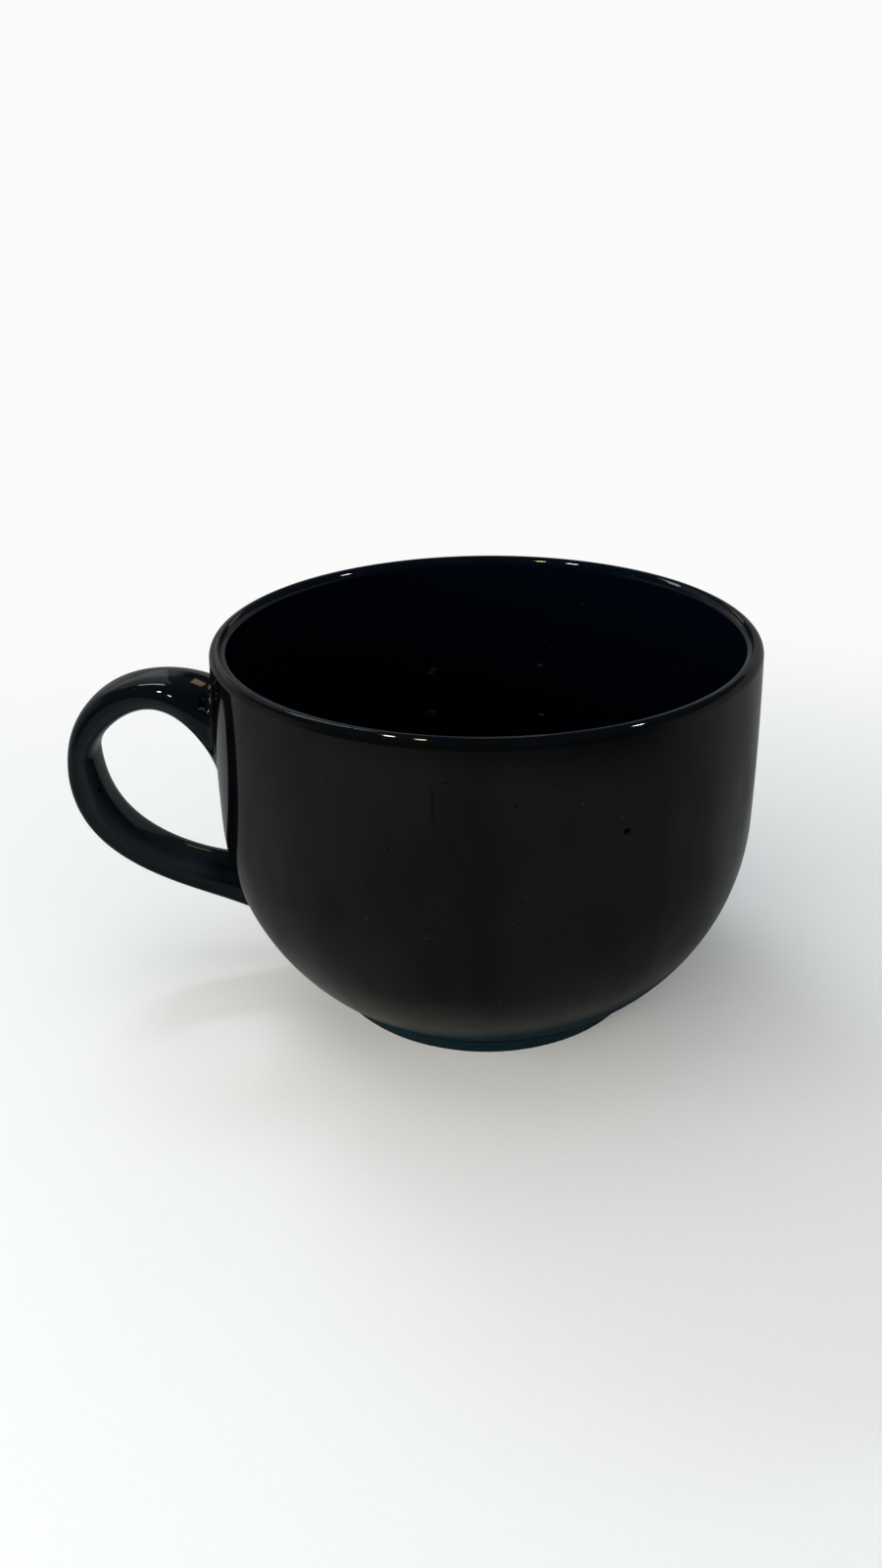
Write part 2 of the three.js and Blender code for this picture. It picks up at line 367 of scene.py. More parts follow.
@dataclass(frozen=True)
class BlackGlaze:
    """A blue-black gloss glaze with faint ripples, pinholes, dust in the melt and wiped smears.

    Its cloud, dust, pits, scratches, smears and patches have sizes in millimetres. Low on the wall it
    turns paler, a painted light that stands in for the lit floor mirrored near the bottom edge. Below a
    line that leans to one side it thins to teal and loses its gloss; on the raised side that teal is also
    a painted reflection of the shaded floor.
    """

    name: str
    axis: float
    deep: Colour = (0.0010, 0.0013, 0.0011)
    cast: Colour = (0.0010, 0.0012, 0.0020)
    inside: Colour = (0.0004, 0.0013, 0.0034)
    hollow: Hollow = INSIDE
    # Painted light: a paler base low on the outside wall, standing in for the lit floor mirrored near the
    # bottom edge.
    low: Colour = (0.014, 0.0145, 0.0122)
    # Teal of glaze thinned near the foot; on the raised side it is also a painted reflection of the
    # shaded floor.
    thin: Colour = (0.0024, 0.0098, 0.0138)
    speck: Colour = (0.065, 0.068, 0.064)
    gloss: Gloss = Gloss()
    body_roughness: float = 0.12
    smear_roughness: float = 0.10
    smear_loss: float = 0.22
    smear_size: float = 11.0
    smear_squash: float = 0.3
    patch_size: float = 22.0
    patch_squash: float = 0.6
    cloud_size: float = 34.0
    dust_spacing: float = 3.6
    dust_radius: float = 0.17
    dust_share: float = 0.6
    dust_height: float = 0.02
    pit_spacing: float = 6.5
    pit_radius: float = 0.34
    pit_depth: float = 0.10
    pit_loss: float = 0.9
    scratch_size: float = 4.0
    scratch_squash: Triple = (0.35, 0.35, 6.0)
    scratch_patch: float = 18.0
    scratch_share: float = 0.06
    ripple: float = 0.05
    ripple_size: float = 26.0
    peel: float = 0.0016
    peel_size: float = 2.2
    # Heights where the painted light low on the wall begins and where it is full.
    painted_low_light_from: float = 30.0
    painted_low_light_to: float = 15.0
    thin_from: float = 18.5
    thin_to: float = 11.5
    # How far the thin line rises towards +X, where the teal stands in for the shaded floor mirrored in
    # the glaze: painted shadow.
    painted_shadow_lean: float = 0.14
    thin_loss: float = 0.85
    blemishes: tuple[Blemish, ...] = ()

    def material(self) -> bpy.types.Material:
        """Builds the glaze.

        Returns:
            The material.
        """
        nodes, material = Nodes.of_material(self.name)
        place = nodes.millimetres()
        cloud = nodes.noise(place, self.cloud_size, 3.0).rise(0.42, 0.62)
        colour = nodes.blend(self.deep, self.cast, cloud)
        inward = nodes.facing(place, self.hollow, self.axis)
        colour = nodes.blend(colour, self.inside, inward)
        height = nodes.height(place)
        # Painted light: the outside turns paler low on the wall, standing in for the lit floor mirrored
        # there.
        colour = nodes.blend(colour, self.low, height.rise(self.painted_low_light_from, self.painted_low_light_to) * (1 - inward))
        # Thinned glaze below a line that rises towards +X. The teal and the lost gloss are partly real
        # thinning and partly a painted reflection of the shaded floor on that side.
        line = height - self.painted_shadow_lean * (height.other("X") - self.axis)
        thin = line.rise(self.thin_from, self.thin_to) * (1 - inward)
        colour = nodes.blend(colour, self.thin, thin)
        dust = nodes.spots(place, self.dust_spacing, self.dust_radius)
        fine = nodes.noise(nodes.stretched(place, self.scratch_squash), self.scratch_size, 2.0)
        worn = nodes.noise(place, self.scratch_patch, 1.0).rise(0.5, 0.62)
        scratches = fine.rise(0.72, 0.78) * worn
        pale = dust * self.dust_share + scratches * self.scratch_share
        colour = nodes.blend(colour, self.speck, pale)
        pits = nodes.spots(place, self.pit_spacing, self.pit_radius)
        for blemish in self.blemishes:
            pits = nodes.node("ShaderNodeMath", {"operation": "MAXIMUM"}, {
                0: pits, 1: nodes.mark(place, blemish, self.axis),
            })
        colour = nodes.blend(colour, self.deep, pits)
        wiped = nodes.stretched(place, (1.0, 1.0, self.smear_squash))
        smears = nodes.noise(wiped, self.smear_size, 4.0).rise(0.5, 0.74)
        dulled = nodes.stretched(place, (1.0, 1.0, self.patch_squash))
        patches = nodes.noise(dulled, self.patch_size, 3.0).rise(0.4, 0.62)
        clear = (1 - self.smear_loss * smears) * (1 - self.smear_loss * patches)
        clear = clear * (1 - self.thin_loss * thin) * (1 - self.pit_loss * pits)
        relief = (
            self.ripple * nodes.noise(place, self.ripple_size, 1.0)
            + self.peel * nodes.noise(place, self.peel_size, 1.0)
            - self.pit_depth * pits
            + self.dust_height * dust
        )
        shader = nodes.node("ShaderNodeBsdfPrincipled", None, {
            "Base Color": colour,
            "Roughness": self.body_roughness + self.smear_roughness * smears,
            "Specular IOR Level": 0.0,
            "Coat Weight": self.gloss.weight * clear,
            "Coat Roughness": self.gloss.roughness,
            "Coat IOR": self.gloss.index,
            "Normal": nodes.bump(relief),
        })
        nodes.finish(shader)
        return material


@dataclass(frozen=True)
class EarGlazePaintedLight(BlackGlaze):
    """The black glaze on the ear, its base bluer and paler all over as a painted reflection of blue light
    from above, and paler still on the finger side as a painted light for light that bounces onto it.
    """

    # Painted reflection: a bluer, paler base than the bowl's, standing in for blue light mirrored on the
    # ear.
    deep: Colour = (0.0013, 0.0020, 0.0029)
    cast: Colour = (0.0011, 0.0021, 0.0034)
    # Painted light: the much paler blue on the finger side, standing in for light bounced onto it.
    inside: Colour = (0.008, 0.0112, 0.0150)
    hollow: Hollow = FINGER_LOOP_PAINTED_LIGHT
    low: Colour = (0.0013, 0.0020, 0.0029)


@dataclass(frozen=True)
class FootGlaze:
    """Thin blue-green glaze over turning lines, wiped off the face that the cup stands on."""

    name: str
    glaze: Colour = (0.0029, 0.012, 0.017)
    pool: Colour = (0.0007, 0.005, 0.007)
    clay: Colour = (0.42, 0.36, 0.29)
    clay_grain: Colour = (0.27, 0.22, 0.17)
    gloss: Gloss = Gloss(0.05, 0.08)
    glaze_roughness: float = 0.2
    clay_roughness: float = 0.85
    line_pitch: float = 1.25
    line_depth: float = 0.035
    grain_size: float = 0.5
    grain_depth: float = 0.06
    glaze_depth: float = 0.08
    bare_below: float = 0.06
    glazed_above: float = 0.2
    ragged: float = 0.12
    ragged_size: float = 3.0

    def material(self) -> bpy.types.Material:
        """Builds the foot's glaze and its bare face.

        Returns:
            The material.
        """
        nodes, material = Nodes.of_material(self.name)
        place = nodes.millimetres()
        height = nodes.height(place)
        edge = height + self.ragged * (nodes.noise(place, self.ragged_size, 3.0) - 0.5)
        glazed = edge.rise(self.bare_below, self.glazed_above)
        lines = nodes.node("ShaderNodeTexWave", {"bands_direction": "Z"}, {
            "Vector": place, "Scale": WAVE_PITCH / self.line_pitch, "Distortion": 0.4, "Detail": 1.0,
        }, "Fac")
        grain = nodes.noise(place, self.grain_size, 4.0)
        glaze = nodes.blend(self.glaze, self.pool, lines.rise(0.35, 0.8))
        clay = nodes.blend(self.clay, self.clay_grain, grain.rise(0.45, 0.7))
        relief = (
            lines * self.line_depth
            + (1 - glazed) * grain * self.grain_depth
            + glazed * self.glaze_depth
        )
        shader = nodes.node("ShaderNodeBsdfPrincipled", None, {
            "Base Color": nodes.blend(clay, glaze, glazed),
            "Roughness": self.clay_roughness + glazed * (self.glaze_roughness - self.clay_roughness),
            "Specular IOR Level": 0.0,
            "Coat Weight": self.gloss.weight * glazed,
            "Coat Roughness": self.gloss.roughness,
            "Coat IOR": self.gloss.index,
            "Normal": nodes.bump(relief),
        })
        nodes.finish(shader)
        return material


@dataclass(frozen=True)
class StudioPaper:
    """Matt pale paper, shown at one even white away from the cup, and clear when seen from behind.

    Out in front of the cup and high up straight behind it, its colour is a painted shade of dim grey,
    which the glaze mirrors dark. The sides are given by how far a place lies ahead: 1 straight in front
    and -1 straight behind.
    """

    name: str = "studio_paper"
    tone: Colour = (0.90, 0.90, 0.895)
    fibre: Colour = (0.89, 0.89, 0.885)
    even: Colour = (0.965, 0.965, 0.96)
    # Painted shade: the dim grey of the paper out in front and high up behind.
    dim: Colour = (0.10, 0.11, 0.12)
    lit_about: Triple = (0.0, -180.0, 0.0)
    even_from: float = 170.0
    even_to: float = 480.0
    front_fade: Span = (250.0, 340.0)
    front_side: Span = (0.1, 0.6)
    back_fade: Span = (420.0, 540.0)
    back_side: Span = (-0.98, -0.998)
    grain_size: float = 1.2
    grain_share: float = 0.1

    def material(self) -> bpy.types.Material:
        """Builds the paper.

        Returns:
            The material.
        """
        nodes, material = Nodes.of_material(self.name)
        place = nodes.millimetres()
        grain = nodes.noise(place, self.grain_size, 4.0).rise(0.3, 0.7)
        level = nodes.vector("NORMALIZE", nodes.stretched(place, (1.0, 1.0, 0.0)))
        ahead = nodes.vector("DOT_PRODUCT", level, (0.0, -1.0, 0.0), "Value")
        # Painted shade: the paper turns dim grey out in front and high up behind, in its lit colour and
        # in its even white.
        front = ahead.rise(*self.front_side) * nodes.reach(place).rise(*self.front_fade)
        high = ahead.rise(*self.back_side) * nodes.height(place).rise(*self.back_fade)
        tone = nodes.blend(nodes.blend(self.tone, self.fibre, grain), self.dim, front)
        bright = nodes.blend(self.even, self.tone, self.grain_share * grain)
        bright = nodes.blend(bright, self.dim, front + high)
        lit = nodes.node("ShaderNodeBsdfDiffuse", None, {"Color": tone})
        even = nodes.node("ShaderNodeEmission", None, {"Color": bright})
        distance = nodes.vector("DISTANCE", place, self.lit_about, "Value")
        ray = nodes.node("ShaderNodeLightPath", output="Is Camera Ray")
        shown = ray + ray.other("Is Glossy Ray") + ray.other("Is Transmission Ray")
        share = distance.rise(self.even_from, self.even_to) * shown
        paper = nodes.node("ShaderNodeMixShader", None, {0: share, 1: lit, 2: even})
        clear = nodes.node("ShaderNodeBsdfTransparent")
        behind = nodes.node("ShaderNodeNewGeometry", output="Backfacing")
        nodes.finish(nodes.node("ShaderNodeMixShader", None, {0: behind, 1: paper, 2: clear}))
        return material


def arc(centre: Span, radius: float, start: float, end: float, steps: int) -> np.ndarray:
    """Points along a circular arc in the profile plane.

    Args:
        centre: Radius and height of the arc's centre.
        radius: The arc's own radius.
        start: Its first angle in radians.
        end: Its last angle in radians.
        steps: The number of steps.

    Returns:
        Points as rows of radius and height.
    """
    angle = np.linspace(start, end, steps + 1)
    return np.column_stack((centre[0] + radius * np.cos(angle), centre[1] + radius * np.sin(angle)))


def bezier(controls: list, share: np.ndarray) -> np.ndarray:
    """Points on a Bezier curve of any degree, by repeated blending.

    Args:
        controls: The control points, each an array that ends in its coordinates.
        share: Where on the curve, from 0 to 1.

    Returns:
        The points.
    """
    share = np.asarray(share)[..., None]
    points = [np.asarray(control, float) for control in controls]
    while len(points) > 1:
        points = [a + (b - a) * share for a, b in zip(points, points[1:])]
    return points[0]


def shares(steps: int) -> np.ndarray:
    """Even shares from 0 to 1."""
    return np.linspace(0.0, 1.0, steps + 1)


def unit(vectors: np.ndarray) -> np.ndarray:
    """Vectors of length one."""
    return vectors / np.linalg.norm(vectors, axis=-1, keepdims=True)


@dataclass
class Skin:
    """The faces of one piece, about the bowl's axis."""

    points: np.ndarray
    faces: list[tuple[int, ...]]
    normals: np.ndarray | None = None

    @classmethod
    def turned(cls, profile: np.ndarray, steps: int, closed: bool = False) -> "Skin":
        """Turns a profile about the axis.

        Args:
            profile: Rows of radius and height that run up the outside.
            steps: The number of steps round.
            closed: Whether the profile joins its own start instead of the axis.

        Returns:
            The turned skin.
        """
        angle = np.linspace(0.0, 2 * math.pi, steps, endpoint=False)
        circle = np.column_stack((np.cos(angle), np.sin(angle)))
        points: list[np.ndarray] = []
        rings: list[list[int]] = []
        count = 0
        for radius, height in profile:
            around = 1 if radius < ON_AXIS else steps
            ring = np.column_stack((radius * circle, np.full(steps, height)))
            points.append(ring[:around])
            rings.append([count + i % around for i in range(steps)])
            count += around
        pairs = list(zip(rings, rings[1:]))
        if closed:
            pairs.append((rings[-1], rings[0]))
        faces = []
        for low, high in pairs:
            for i in range(steps):
                j = (i + 1) % steps
                corners = (low[i], low[j], high[j], high[i])
                faces.append(tuple(dict.fromkeys(corners)))
        return cls(np.vstack(points), faces)

    @classmethod
    def sleeve(cls, rings: np.ndarray, normals: np.ndarray) -> "Skin":
        """Joins rings of points into a sleeve with both ends closed by fans.

        Args:
            rings: Points, by ring and place in the ring.
            normals: The surface's normal at each point.

        Returns:
            The closed skin.
        """
        count, around, _ = rings.shape
        faces = []
        for i in range(count - 1):
            for j in range(around):
                k = (j + 1) % around
                faces.append((i * around + j, i * around + k, (i + 1) * around + k, (i + 1) * around + j))
        hubs = np.array([rings[0].mean(0), rings[-1].mean(0)])
        first, last = count * around, (count - 1) * around
        for j in range(around):
            k = (j + 1) % around
            faces.append((first, k, j))
            faces.append((first + 1, last + j, last + k))
        ends = unit(np.array([hubs[0] - hubs[1], hubs[1] - hubs[0]]))
        points = np.vstack((rings.reshape(-1, 3), hubs))
        return cls(points, faces, np.vstack((normals.reshape(-1, 3), ends)))

    def piece(self, name: str, axis: float, material: bpy.types.Material) -> bpy.types.Object:
        """Makes the object, in metres of the shared frame.

        Args:
            name: The object's name.
            axis: Where the bowl's axis stands along X.
            material: The finish.

        Returns:
            The object, smooth all over.
        """
        mesh = bpy.data.meshes.new(name)
        mesh.from_pydata(((self.points + (axis, 0.0, 0.0)) * MM).tolist(), [], self.faces)
        mesh.shade_smooth()
        if self.normals is not None:
            mesh.normals_split_custom_set_from_vertices(self.normals.tolist())
        mesh.materials.append(material)
        made = bpy.data.objects.new(name, mesh)
        bpy.context.scene.collection.objects.link(made)
        return made


def settle(piece: bpy.types.Object, node: str) -> None:
    """Ties a piece to the body and hides the solid that it stands for.

    Args:
        piece: The piece, in its place.
        node: The solid's name.
    """
    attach(piece, BODY)
    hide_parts(node)
    LOG.info("%s stands for %s: %d faces", piece.name, node, len(piece.data.polygons))


@dataclass
class Bowl:
    """The turned bowl: a flat base, one arc to the belly, a nearly upright wall and a soft lip."""

    node: str = "bowl"
    rim_radius: float = 61.0
    belly_height: float = 47.4
    base_radius: float = 42.2
    lip_thickness: float = 4.1
    lip_outer: float = 1.8
    lip_outer_drop: float = 2.0
    lip_inner_drop: float = 2.1
    wall: float = 4.6
    floor: float = 6.4
    floor_corner: float = 14.0
    base_edge: float = 0.45
    steps: int = 320
    edge_steps: int = 5
    lower_steps: int = 72
    upper_steps: int = 39
    lip_steps: int = 18
    inner_upper_steps: int = 31
    inner_lower_steps: int = 36
    corner_steps: int = 24
    axis: float = field(init=False)
    belly_radius: float = field(init=False)
    base: float = field(init=False)
    top: float = field(init=False)
    arc_radius: float = field(init=False)
    arc_centre: float = field(init=False)

    def __post_init__(self) -> None:
        """Takes the overall sizes from the solid and works out the lower wall's arc."""
        low, high = (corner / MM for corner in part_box(self.node))
        self.axis = (low.x + high.x) / 2
        self.belly_radius = (high.y - low.y) / 2
        self.base, self.top = low.z, high.z
        tuck = self.belly_radius - self.base_radius
        self.arc_radius = (tuck ** 2 + (self.belly_height - self.base) ** 2) / (2 * tuck)
        self.arc_centre = self.belly_radius - self.arc_radius

    @property
    def lip_height(self) -> float:
        """Where the wall's own curve ends, half a lip's thickness below the top."""
        return self.top - self.lip_thickness / 2

    def upper_radius(self, height: np.ndarray) -> np.ndarray:
        """The outside radius above the belly."""
        share = (height - self.belly_height) / (self.lip_height - self.belly_height)
        return self.belly_radius + (self.rim_radius - self.belly_radius) * share ** 2

    def lean(self, height: np.ndarray) -> np.ndarray:
        """How fast the outside radius changes with height above the belly."""
        rise = self.lip_height - self.belly_height
        return 2 * (self.rim_radius - self.belly_radius) * (height - self.belly_height) / rise ** 2

    def radius_at(self, height: float) -> float:
        """The outside radius at any height.

        Args:
            height: Above the table.

        Returns:
            The radius.
        """
        if height < self.belly_height:
            return self.arc_centre + math.sqrt(self.arc_radius ** 2 - (self.belly_height - height) ** 2)
        return float(self.upper_radius(np.array(height)))

    def stand_off(self, points: np.ndarray) -> tuple[np.ndarray, np.ndarray]:
        """Measures points against the outside of the wall.

        Args:
            points: Points about the axis.

        Returns:
            How far each stands off the wall, and the wall's normal there.
        """
        radius = np.hypot(points[..., 0], points[..., 1])
        height = points[..., 2]
        from_arc = np.stack((radius - self.arc_centre, height - self.belly_height), -1)
        reach = np.linalg.norm(from_arc, axis=-1)
        lean = self.lean(height)
        slant = np.hypot(1.0, lean)
        low = height < self.belly_height
        off = np.where(low, reach - self.arc_radius, (radius - self.upper_radius(height)) / slant)
        out = np.where(low, from_arc[..., 0] / reach, 1 / slant)
        up = np.where(low, from_arc[..., 1] / reach, -lean / slant)
        normal = np.stack((out * points[..., 0] / radius, out * points[..., 1] / radius, up), -1)
        return off, normal

    def onto_wall(self, points: np.ndarray) -> np.ndarray:
        """Moves points along the wall's normal onto the wall, in three rounds.

        Args:
            points: Points near the wall.

        Returns:
            The points on the wall.
        """
        for _ in range(3):
            off, normal = self.stand_off(points)
            points = points - off[..., None] * normal
        return points

    def profile(self) -> np.ndarray:
        """The bowl's outline from the middle of the base, up the outside and down the inside.

        Returns:
            Rows of radius and height.
        """
        start = -math.asin((self.belly_height - self.base) / self.arc_radius)
        edge_turn = self.base_edge / self.arc_radius
        centre = (self.arc_centre, self.belly_height)
        lower = arc(centre, self.arc_radius, start + edge_turn, 0.0, self.lower_steps)
        edge = bezier([
            (self.base_radius - self.base_edge, self.base), (self.base_radius, self.base), lower[0],
        ], shares(self.edge_steps))
        rise = self.top - self.lip_outer_drop - self.belly_height
        height = self.belly_height + rise * shares(self.upper_steps)
        upper = np.column_stack((self.upper_radius(height), height))
        return np.vstack((
            [(0.0, self.base), (self.base_radius / 2, self.base)],
            edge, lower[1:], upper[1:], self.lip()[1:], self.inside()[1:],
        ))

    def lip(self) -> np.ndarray:
        """The lip's roll over the top, tighter on the outside than on the inside.

        Returns:
            Rows of radius and height.
        """
        start, end = self.top - self.lip_outer_drop, self.top - self.lip_inner_drop
        outer = float(self.upper_radius(np.array(start)))
        inner = self.rim_radius - self.lip_thickness
        crown = self.rim_radius - self.lip_outer
        over = bezier([
            (outer, start), (outer, start + ROUND * self.lip_outer_drop),
            (crown + ROUND * (outer - crown), self.top), (crown, self.top),
        ], shares(self.lip_steps))
        back = bezier([
            (crown, self.top), (crown + ROUND * (inner - crown), self.top),
            (inner, end + ROUND * self.lip_inner_drop), (inner, end),
        ], shares(self.lip_steps))
        return np.vstack((over, back[1:]))

    def inside(self) -> np.ndarray:
        """The inside from under the lip, round the floor's corner to the axis.

        Returns:
            Rows of radius and height.
        """
        under_lip = np.array([self.rim_radius - self.lip_thickness, self.top - self.lip_inner_drop])
        belly = np.array([self.belly_radius - self.wall, self.belly_height])
        upper = bezier([under_lip, belly], shares(self.inner_upper_steps))
        wall_radius = self.arc_radius - self.wall
        floor_height = self.base + self.floor
        corner_height = floor_height + self.floor_corner
        corner_arc = wall_radius - self.floor_corner
        turn = -math.asin((self.belly_height - corner_height) / corner_arc)
        lower = arc((self.arc_centre, self.belly_height), wall_radius, 0.0, turn, self.inner_lower_steps)
        corner_centre = (self.arc_centre + corner_arc * math.cos(turn), corner_height)
        corner = arc(corner_centre, self.floor_corner, turn, -math.pi / 2, self.corner_steps)
        flat = [(corner[-1][0] * share, floor_height) for share in (0.75, 0.5, 0.25, 0.0)]
        return np.vstack((upper, lower[1:], corner[1:], flat))

    def build(self, finish: BlackGlaze) -> bpy.types.Object:
        """Builds and dresses the bowl.

        Args:
            finish: The glaze.

        Returns:
            The piece.
        """
        piece = Skin.turned(self.profile(), self.steps).piece("cup_bowl", self.axis, finish.material())
        settle(piece, self.node)
        return piece


@dataclass
class Foot:
    """The foot ring and the seam of slip that holds it to the bowl's flat base."""

    bowl: Bowl
    inset: float = 0.4
    taper: float = 2.6
    top_width: float = 7.2
    face_width: float = 4.6
    edge_radius: float = 1.0
    top_edge: float = 0.35
    groove: float = 0.35
    flank_start: float = 0.08
    steps: int = 320
    round_steps: int = 8
    edge_steps: int = 5
    flank_steps: int = 19
    seam_steps: int = 6
    height: float = field(init=False)
    outer: float = field(init=False)

    def __post_init__(self) -> None:
        """Takes the ring's height from its solid."""
        self.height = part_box("foot_ring")[1].z / MM
        self.outer = self.bowl.base_radius - self.inset

    def ring_profile(self) -> np.ndarray:
        """The ring's closed outline, up its outer side.

        Returns:
            Rows of radius and height.
        """
        face_outer = self.outer - self.taper
        face_inner = face_outer - self.face_width
        top_inner = self.outer - self.top_width
        r = self.edge_radius
        side = unit(np.array([self.taper, self.height - r]))
        top = np.array([self.outer, self.height])
        inner_edge = arc((face_inner + r, r), r, -math.pi, -math.pi / 2, self.round_steps)
        outer_edge = arc((face_outer - r, r), r, -math.pi / 2, 0.0, self.round_steps)
        rise = self.flank_start + (1 - self.flank_start) * shares(self.flank_steps)[:, None]
        flank = outer_edge[-1] + (top - self.top_edge * side - outer_edge[-1]) * rise
        top_edge = bezier([flank[-1], top, top - (self.top_edge, 0.0)], shares(self.edge_steps)[1:])
        return np.vstack((inner_edge, outer_edge, flank, top_edge, [(top_inner, self.height)]))

    def seam_profile(self) -> np.ndarray:
        """The seam's closed outline, hollowed a little on its outer side.

        Returns:
            Rows of radius and height.
        """
        outer = self.outer - self.groove
        inner = self.outer - self.top_width + self.groove
        low, high = self.height, self.bowl.base
        hollow = bezier([
            (outer, low), (outer - self.groove / 2, (low + high) / 2), (outer, high),
        ], shares(self.seam_steps))
        return np.vstack(([(inner, low)], hollow, [(inner, high)]))

    def build(self, ring_finish: FootGlaze, seam_finish: BlackGlaze) -> list[bpy.types.Object]:
        """Builds and dresses the ring and its seam.

        Args:
            ring_finish: The thin glaze of the foot.
            seam_finish: The glaze pooled in the seam.

        Returns:
            The two pieces.
        """
        axis = self.bowl.axis
        ring = Skin.turned(self.ring_profile(), self.steps, closed=True)
        seam = Skin.turned(self.seam_profile(), self.steps, closed=True)
        pieces = [
            ring.piece("cup_foot_ring", axis, ring_finish.material()),
            seam.piece("cup_foot_seam", axis, seam_finish.material()),
        ]
        settle(pieces[0], "foot_ring")
        settle(pieces[1], "foot_slip")
        return pieces


@dataclass(frozen=True)
class EdgeLine:
    """One edge of the handle seen from its side: out of the wall, round the crest and home."""

    top: float
    bottom: float
    crest: Span
    top_angle: float
    top_run: float
    shoulder: float
    hip: float
    tail_angle: float
    tail_run: float

    def at(self, bowl: Bowl, place: np.ndarray) -> np.ndarray:
        """Points on the line, straight on past its ends.

        Args:
            bowl: The bowl that it springs from.
            place: 0 at the upper root, 1 at the crest, 2 at the lower root.

        Returns:
            Rows of radius and height.
        """
        start = np.array([bowl.radius_at(self.top), self.top])
        end = np.array([bowl.radius_at(self.bottom), self.bottom])
        crest = np.array(self.crest)
        out = self.direction(self.top_angle) * self.top_run
        home = self.direction(self.tail_angle) * self.tail_run
        up, down = np.array([0.0, self.shoulder]), np.array([0.0, self.hip])
        upper = bezier([start, start + out, crest + up, crest], np.clip(place, 0, 1))
        lower = bezier([crest, crest - down, end + home, end], np.clip(place - CREST, 0, 1))
        line = np.where(place[..., None] < CREST, upper, lower)
        before = np.minimum(place, 0)[..., None]
        past = np.maximum(place - Root.LOWER.value, 0)[..., None]
        return line + CUBIC * before * out - CUBIC * past * home

    @staticmethod
    def direction(angle: float) -> np.ndarray:
        """The unit vector at an angle above level."""
        return np.array([math.cos(math.radians(angle)), math.sin(math.radians(angle))])


